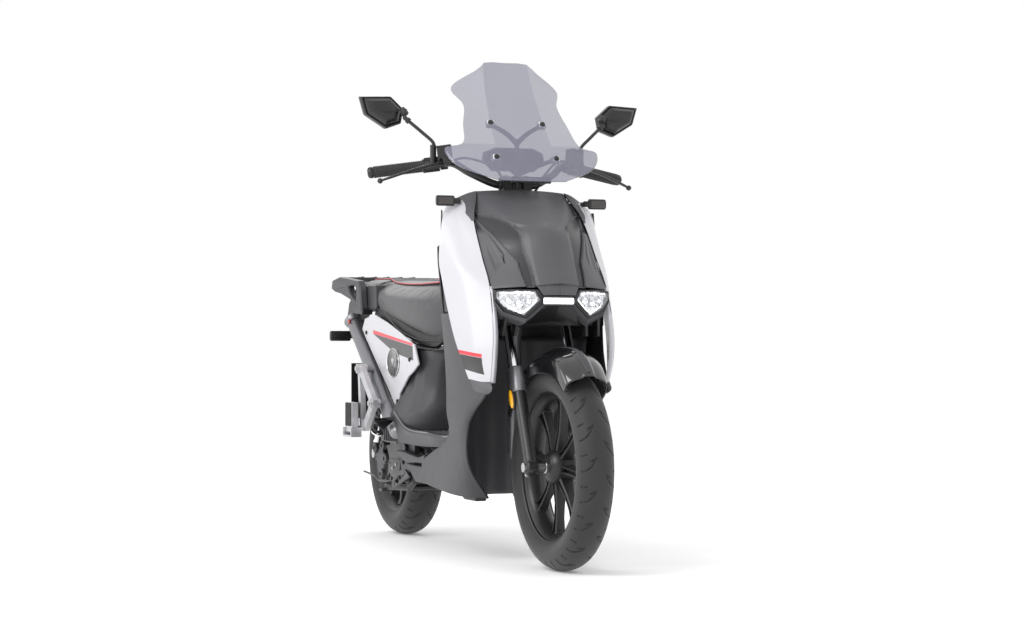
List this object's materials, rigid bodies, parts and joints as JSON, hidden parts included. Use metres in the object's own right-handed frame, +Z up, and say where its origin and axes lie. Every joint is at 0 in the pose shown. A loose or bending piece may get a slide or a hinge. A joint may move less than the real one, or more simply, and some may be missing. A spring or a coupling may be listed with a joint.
{
  "type": "electric moped scooter",
  "caption": "Step-through electric moped scooter with telescopic fork, hub motor in the rear wheel, twin shocks, tall wind screen, two-level seat and pillion rail.",
  "frame": {"origin": "on the ground under the middle of the scooter, halfway between the front of the front tyre and the back of the number-plate plate", "axes": "+Z up, +Y towards the rear along the wheelbase, +X towards the rider's left"},
  "size_m": [0.866, 1.9662, 1.441],
  "materials": {
    "frame_grey": "satin metallic paint",
    "body_white": "pearl gloss",
    "body_grey": "satin moulded",
    "plastic_black": "moulded grain",
    "gloss_black": "gloss",
    "black_metal": "powder coat",
    "cast_alloy": "cast",
    "steel": "machined",
    "chrome": "polished",
    "tyre": "rubber",
    "rubber": "grip rubber",
    "seat_vinyl": "grained vinyl",
    "clear": "clear polycarbonate",
    "lens": "clear lens",
    "red_lens": "red lens",
    "amber": "reflector",
    "spring_red": "gloss paint",
    "cast_grey": "cast"
  },
  "bodies": {
    "chassis": {"main_frame": "frame_grey", "pivot_plates": "cast_grey", "battery_pack": "plastic_black", "front_fascia": "body_grey", "apron_right": "body_white", "apron_left": "body_white", "lower_leg_shield": "body_grey", "inner_leg_shield": "body_grey", "floorboard": "body_grey", "underseat_cover": "body_grey", "side_panels": "body_white", "tail_fairing": "body_grey", "grab_rail": "black_metal", "tail_light": "red_lens", "rear_mudguard": "plastic_black", "indicators": "plastic_black", "headlight_housing": "plastic_black", "headlight_lenses": "lens", "peg_brackets": "cast_alloy"},
    "seat": {"seat_pan": "plastic_black", "seat_cushion": "seat_vinyl"},
    "steering": {"steering_stem": "black_metal", "fork_stanchions": "chrome", "handlebar": "black_metal", "left_grip": "rubber", "switch_housings": "plastic_black", "display": "plastic_black", "windshield": "clear", "windshield_bracket": "black_metal", "master_cylinders": "plastic_black", "brake_hoses": "rubber", "mirror_stems": "black_metal"},
    "fork_lower": {"fork_lowers": "black_metal", "front_axle": "steel", "front_mudguard": "gloss_black", "front_caliper": "black_metal", "fork_reflectors": "amber"},
    "front_wheel": {"front_tyre": "tyre", "front_rim": "black_metal", "front_disc": "steel"},
    "swingarm": {"swingarm": "black_metal", "rear_axle": "steel", "rear_caliper": "black_metal"},
    "rear_wheel": {"rear_tyre": "tyre", "rear_hub_motor": "black_metal", "rear_disc": "steel"},
    "shock_upper": {"shock_bodies": "black_metal", "shock_springs": "spring_red"},
    "shock_lower": {"shock_rods": "chrome"},
    "brake_lever_right": {"brake_lever_right": "black_metal"},
    "brake_lever_left": {"brake_lever_left": "black_metal"},
    "throttle_grip": {"throttle_grip": "rubber"},
    "mirror_right": {"mirror_right": "plastic_black"},
    "mirror_left": {"mirror_left": "plastic_black"},
    "pillion_peg_right": {"pillion_peg_right": "rubber"},
    "pillion_peg_left": {"pillion_peg_left": "rubber"},
    "centre_stand": {"centre_stand": "black_metal"},
    "kill_switch": {"kill_switch": "plastic_black"},
    "horn_button": {"horn_button": "plastic_black"},
    "indicator_switch": {"indicator_switch": "plastic_black"}
  },
  "joints": [
    {"name": "steer", "type": "hinge", "parent": "chassis", "child": "steering", "pos_m": [0, -0.452, 0.72], "axis": [0, 0.4115, 0.9114], "range_deg": [-35, 35]},
    {"name": "fork_travel", "type": "slide", "parent": "steering", "child": "fork_lower", "axis": [0, 0.4115, 0.9114], "range_m": [-0.03, 0.07], "stiffness_N_per_m": 15000, "springref_m": -0.035},
    {"name": "front_wheel_spin", "type": "hinge", "parent": "fork_lower", "child": "front_wheel", "pos_m": [0, -0.69978, 0.283], "axis": [1, 0, 0], "continuous": true},
    {"name": "swingarm_pivot", "type": "hinge", "parent": "chassis", "child": "swingarm", "pos_m": [0, 0.21, 0.3], "axis": [1, 0, 0], "range_deg": [-3, 6], "stiffness_Nm_per_rad": 9000, "springref_deg": -1.72},
    {"name": "rear_wheel_spin", "type": "hinge", "parent": "swingarm", "child": "rear_wheel", "pos_m": [0, 0.66021, 0.266], "axis": [1, 0, 0], "continuous": true},
    {"name": "shock_swing", "type": "hinge", "parent": "chassis", "child": "shock_upper", "pos_m": [0, 0.43011, 0.565], "axis": [1, 0, 0], "range_deg": [-2.33, 4.37]},
    {"name": "shock_travel", "type": "slide", "parent": "shock_upper", "child": "shock_lower", "axis": [0, 0.5401, -0.8416], "range_m": [-0.03516, 0.01783], "deforming": ["shock_springs"]},
    {"name": "brake_lever_left_pull", "type": "hinge", "parent": "steering", "child": "brake_lever_left", "pos_m": [0.21021, -0.30536, 1.13695], "axis": [0.1095, 0.0457, 0.9929], "range_deg": [0, 14], "stiffness_Nm_per_rad": 1.2, "springref_deg": -14.32},
    {"name": "brake_lever_right_pull", "type": "hinge", "parent": "steering", "child": "brake_lever_right", "pos_m": [-0.21021, -0.30536, 1.13695], "axis": [0.1095, -0.0457, -0.9929], "range_deg": [0, 14], "stiffness_Nm_per_rad": 1.2, "springref_deg": -14.32},
    {"name": "throttle_twist", "type": "hinge", "parent": "steering", "child": "throttle_grip", "pos_m": [-0.242, -0.252, 1.133], "axis": [-0.9164, 0.3824, -0.1187], "range_deg": [-70, 0], "stiffness_Nm_per_rad": 0.5, "springref_deg": 17.19},
    {"name": "mirror_left_turn", "type": "hinge", "parent": "steering", "child": "mirror_left", "pos_m": [0.308, -0.268, 1.268], "axis": [0, 0, 1], "range_deg": [-20, 20]},
    {"name": "mirror_right_turn", "type": "hinge", "parent": "steering", "child": "mirror_right", "pos_m": [-0.308, -0.268, 1.268], "axis": [0, 0, 1], "range_deg": [-20, 20]},
    {"name": "seat_opening", "type": "hinge", "parent": "chassis", "child": "seat", "pos_m": [0, -0.002, 0.6], "axis": [1, 0, 0], "range_deg": [0, 60]},
    {"name": "stand_swing", "type": "hinge", "parent": "chassis", "child": "centre_stand", "pos_m": [0, 0.182, 0.211], "axis": [1, 0, 0], "range_deg": [-92, 0], "stiffness_Nm_per_rad": 8, "springref_deg": 20.05},
    {"name": "peg_right_fold", "type": "hinge", "parent": "chassis", "child": "pillion_peg_right", "pos_m": [-0.256, 0.43009, 0.351], "axis": [0, 1, 0], "range_deg": [-90, 0]},
    {"name": "peg_left_fold", "type": "hinge", "parent": "chassis", "child": "pillion_peg_left", "pos_m": [0.256, 0.43009, 0.351], "axis": [0, 1, 0], "range_deg": [0, 90]},
    {"name": "horn_press", "type": "slide", "parent": "steering", "child": "horn_button", "axis": [0.3851, -0.9229, 0], "range_m": [0, 0.002], "stiffness_N_per_m": 600, "springref_m": -0.002},
    {"name": "kill_switch_press", "type": "slide", "parent": "steering", "child": "kill_switch", "axis": [-0.3851, -0.9229, 0], "range_m": [0, 0.002], "stiffness_N_per_m": 600, "springref_m": -0.002},
    {"name": "indicator_slide", "type": "slide", "parent": "steering", "child": "indicator_switch", "axis": [0.9164, 0.3824, -0.1187], "range_m": [-0.004, 0.004]}
  ],
  "couplings": [
    {"joint": "shock_swing", "follows": "swingarm_pivot", "ratio": 0.678},
    {"joint": "shock_travel", "follows": "swingarm_pivot", "m_per_rad": -0.331}
  ]
}
